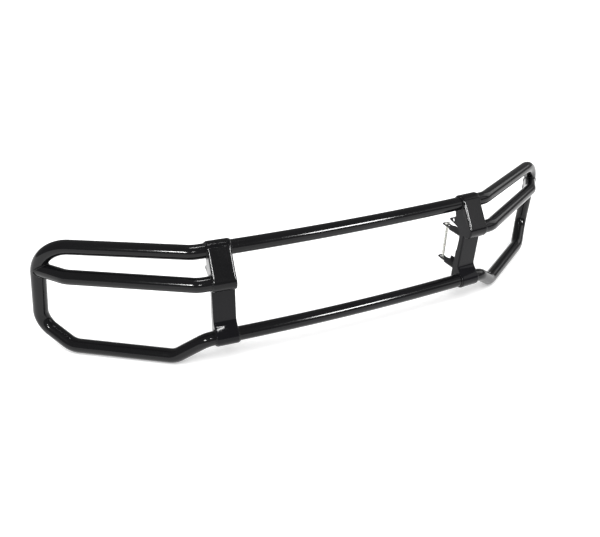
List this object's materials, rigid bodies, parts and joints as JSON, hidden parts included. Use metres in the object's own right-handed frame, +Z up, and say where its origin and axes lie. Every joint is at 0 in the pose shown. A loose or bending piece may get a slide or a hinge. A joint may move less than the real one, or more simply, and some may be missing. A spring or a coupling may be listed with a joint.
{
  "type": "front grille guard",
  "caption": "Tubular guard with bowed rails between two sheet-metal uprights, a swept hoop and mid bar at each end, and slotted clamp brackets behind.",
  "frame": {"origin": "middle of the guard's box, on the floor that the bottom bars rest on", "axes": "+X along the rails towards the guard's right end as seen from the front, -Y forward, +Z up"},
  "size_m": [1.6288, 0.3024, 0.327],
  "materials": {
    "gloss_black": "gloss powder coat",
    "satin_black": "satin powder coat",
    "zinc": "bright zinc plate"
  },
  "bodies": {
    "guard": {"top_rail": "gloss_black", "lower_rail": "gloss_black", "left_hoop": "gloss_black", "right_hoop": "gloss_black", "left_mid_bar": "gloss_black", "right_mid_bar": "gloss_black", "left_cover": "gloss_black", "right_cover": "gloss_black", "left_lower_face": "satin_black", "right_lower_face": "satin_black", "left_outer_side_plate": "gloss_black", "left_inner_side_plate": "gloss_black", "right_inner_side_plate": "gloss_black", "right_outer_side_plate": "gloss_black", "left_mount_plate": "gloss_black", "right_mount_plate": "gloss_black", "left_weld_nuts": "zinc", "right_weld_nuts": "zinc", "left_bracket": "satin_black", "right_bracket": "satin_black", "left_bracket_bolts": "zinc", "right_bracket_bolts": "zinc", "left_bracket_washers": "zinc", "right_bracket_washers": "zinc"},
    "left_clamp_bolt": {"left_clamp_bolt": "zinc"},
    "left_clamp_nut": {"left_clamp_nut": "zinc"},
    "right_clamp_bolt": {"right_clamp_bolt": "zinc"},
    "right_clamp_nut": {"right_clamp_nut": "zinc"}
  },
  "joints": [
    {"name": "left_clamp_slide", "type": "slide", "parent": "guard", "child": "left_clamp_bolt", "axis": [0.0634, 0.998, 0], "range_m": [-0.0065, 0.0065]},
    {"name": "left_nut_turn", "type": "hinge", "parent": "left_clamp_bolt", "child": "left_clamp_nut", "pos_m": [-0.36332, -0.00783, 0.0835], "axis": [0, 0, 1], "continuous": true},
    {"name": "right_clamp_slide", "type": "slide", "parent": "guard", "child": "right_clamp_bolt", "axis": [-0.0634, 0.998, 0], "range_m": [-0.0065, 0.0065]},
    {"name": "right_nut_turn", "type": "hinge", "parent": "right_clamp_bolt", "child": "right_clamp_nut", "pos_m": [0.36632, -0.00764, 0.0835], "axis": [0, 0, 1], "continuous": true}
  ]
}
